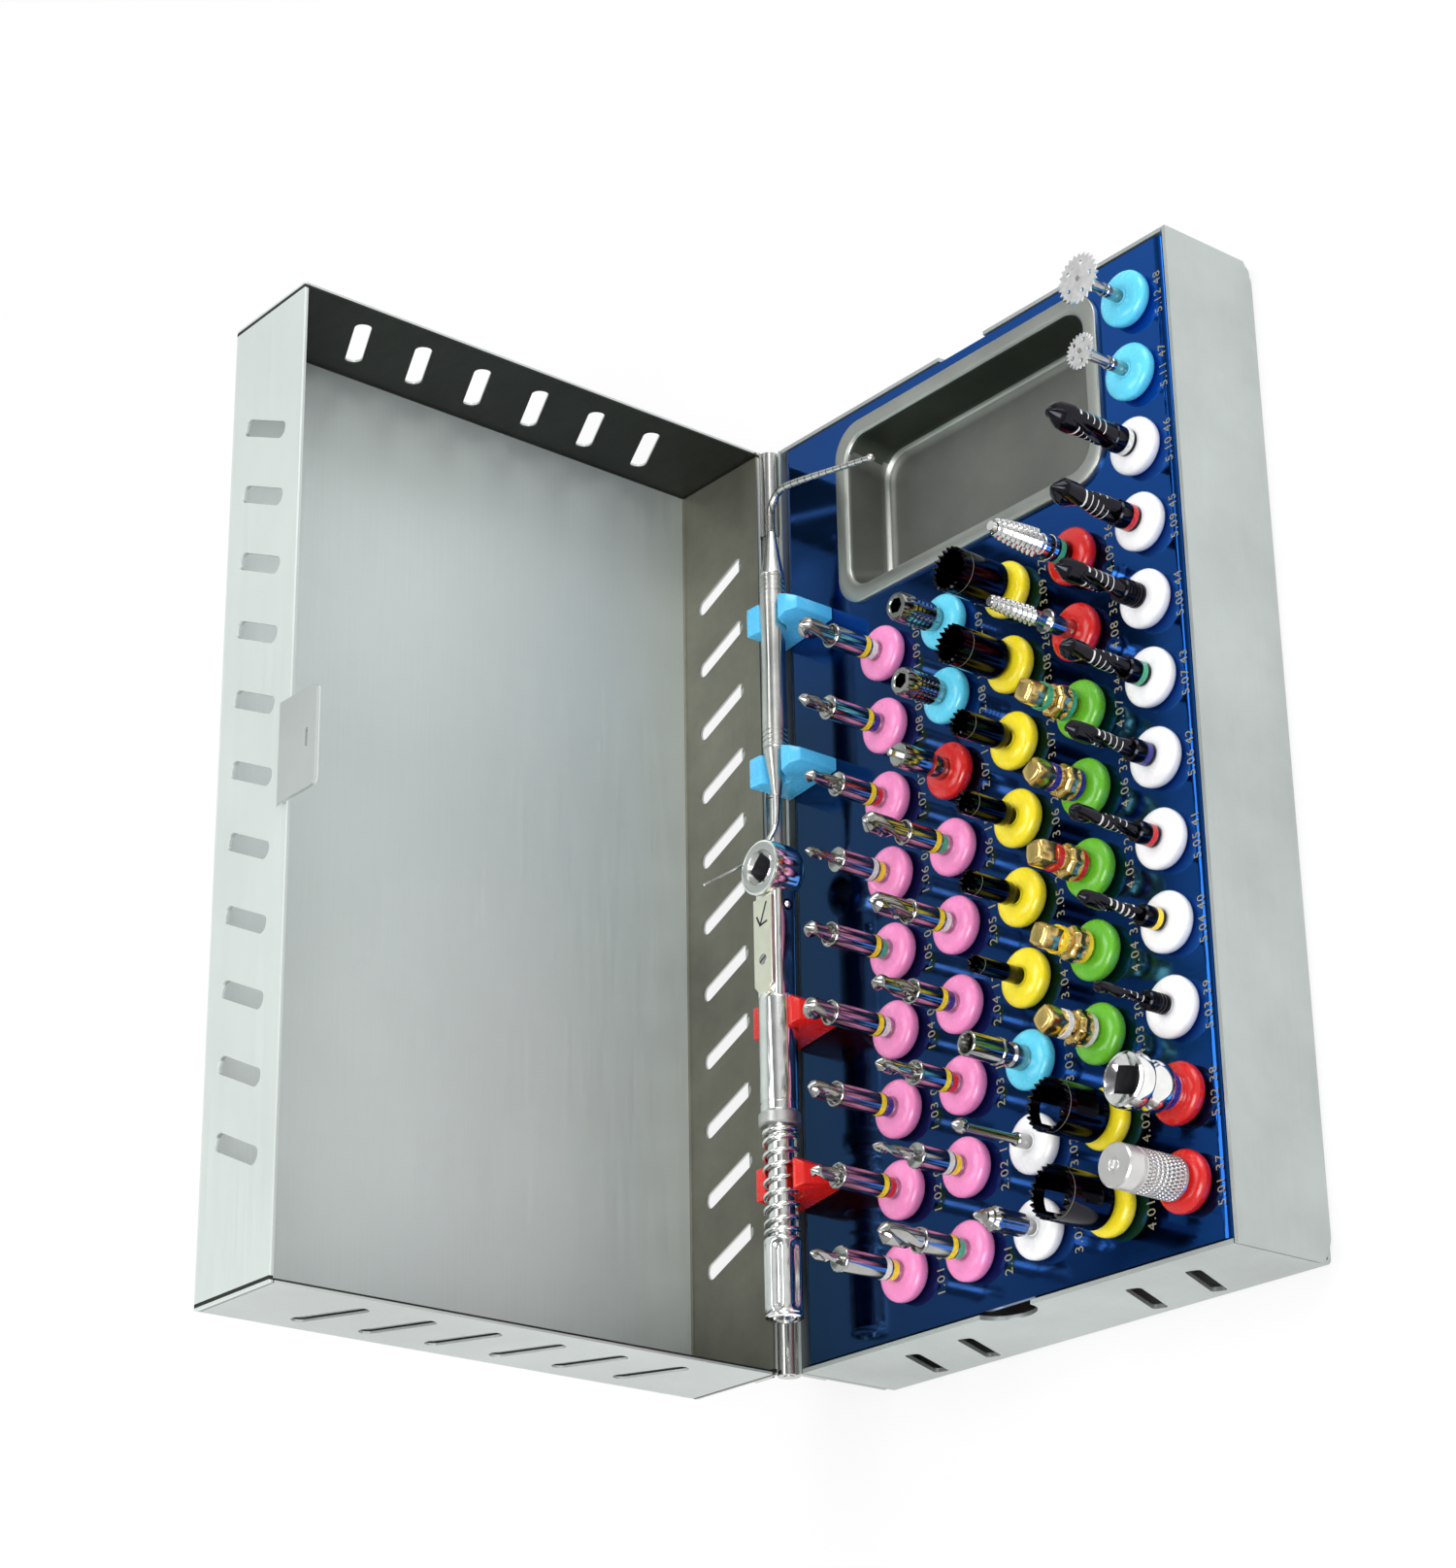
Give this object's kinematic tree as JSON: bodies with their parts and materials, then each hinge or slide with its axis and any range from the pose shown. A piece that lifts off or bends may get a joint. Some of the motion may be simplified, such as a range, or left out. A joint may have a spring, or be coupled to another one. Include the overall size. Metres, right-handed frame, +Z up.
{
  "type": "dental instrument cassette",
  "caption": "Hinged perforated steel case with a removable blue tray that holds implant drills, drivers, a dish, a probe and a torque ratchet wrench in silicone plugs and clips.",
  "frame": {"origin": "centre of the base's underside", "axes": "+Z up, +X along the hinge towards the end with the dish, +Y towards the hinge"},
  "size_m": [0.19, 0.1361, 0.1361],
  "materials": {
    "case_steel": "satin rolled sheet",
    "blue_plate": "mirror-like blue coating",
    "dish_steel": "matte bead-blasted",
    "silicone_blue": "smooth moulded",
    "silicone_red": "smooth moulded",
    "bright_steel": "polished",
    "chrome_steel": "mirror polished",
    "ground_steel": "ground",
    "silicone_pink": "glossy moulded",
    "silicone_sky": "glossy moulded",
    "silicone_scarlet": "glossy moulded",
    "silicone_yellow": "glossy moulded",
    "silicone_green": "glossy moulded",
    "silicone_white": "glossy moulded",
    "black_coating": "hard black coating",
    "gold_coating": "gold nitride coating",
    "band_white": "enamel",
    "band_yellow": "enamel",
    "band_red": "enamel",
    "band_blue": "enamel",
    "band_green": "enamel"
  },
  "bodies": {
    "case": {"base_shell": "case_steel", "base_hinge_leaf": "case_steel", "hinge_pin": "case_steel"},
    "lid": {"lid_shell": "case_steel", "lid_hinge_leaf": "case_steel"},
    "dish": {"bone_dish": "dish_steel"},
    "probe": {"probe_handle": "bright_steel", "probe_marked_tip": "bright_steel", "probe_needle_tip": "bright_steel"},
    "wrench": {"wrench_body": "chrome_steel", "head_ring": "ground_steel", "pawl": "bright_steel", "wrench_cover": "ground_steel", "cover_screw": "bright_steel", "detent_ball": "bright_steel", "torque_collar": "ground_steel", "torque_rod": "bright_steel", "torque_spring": "chrome_steel"},
    "ratchet_wheel": {"drive_wheel": "chrome_steel"},
    "sleeve": {"torque_sleeve": "chrome_steel"},
    "tray": {"tray_plate": "blue_plate", "probe_clips": "silicone_blue", "wrench_clips": "silicone_red", "plugs_pink": "silicone_pink", "plugs_sky": "silicone_sky", "plugs_red": "silicone_scarlet", "plugs_yellow": "silicone_yellow", "plugs_green": "silicone_green", "plugs_white": "silicone_white", "step_drills_wide": "bright_steel", "step_drills_middle": "bright_steel", "step_drills_slim": "bright_steel", "step_drills_fine": "bright_steel", "trephines_wide": "black_coating", "trephines_narrow": "black_coating", "trephines_large": "black_coating", "marked_drills": "black_coating", "saw_disc_large": "bright_steel", "saw_disc_small": "bright_steel", "saw_mandrels": "bright_steel", "gold_drivers": "gold_coating", "implant_carriers": "bright_steel", "hex_driver": "bright_steel", "tube_driver": "bright_steel", "pointed_mandrel": "bright_steel", "screw_tool": "bright_steel", "thread_tap_large": "bright_steel", "thread_tap_small": "bright_steel", "socket_driver": "chrome_steel", "thumb_driver": "ground_steel", "bands_white": "band_white", "bands_yellow": "band_yellow", "bands_red": "band_red", "bands_blue": "band_blue", "bands_green": "band_green"}
  },
  "joints": [
    {"name": "lid_hinge", "type": "hinge", "parent": "case", "child": "lid", "pos_m": [0, 0.05715, 0.0234], "axis": [-1, 0, 0], "range_deg": [-90, 75]},
    {"name": "tray_lift", "type": "slide", "parent": "case", "child": "tray", "axis": [0, 0, 1], "range_m": [0, 0.03]},
    {"name": "dish_lift", "type": "slide", "parent": "tray", "child": "dish", "axis": [0, 0, 1], "range_m": [0, 0.005]},
    {"name": "probe_lift", "type": "slide", "parent": "tray", "child": "probe", "axis": [0, 0, 1], "range_m": [0, 0.03]},
    {"name": "wrench_lift", "type": "slide", "parent": "tray", "child": "wrench", "axis": [0, 0, 1], "range_m": [0, 0.03]},
    {"name": "wheel_turn", "type": "hinge", "parent": "wrench", "child": "ratchet_wheel", "pos_m": [-0.0016, 0.04645, 0.0333], "axis": [0, 0, 1], "continuous": true},
    {"name": "sleeve_set", "type": "slide", "parent": "wrench", "child": "sleeve", "axis": [1, 0, 0], "range_m": [0, 0.003], "deforming": ["torque_spring"]}
  ]
}
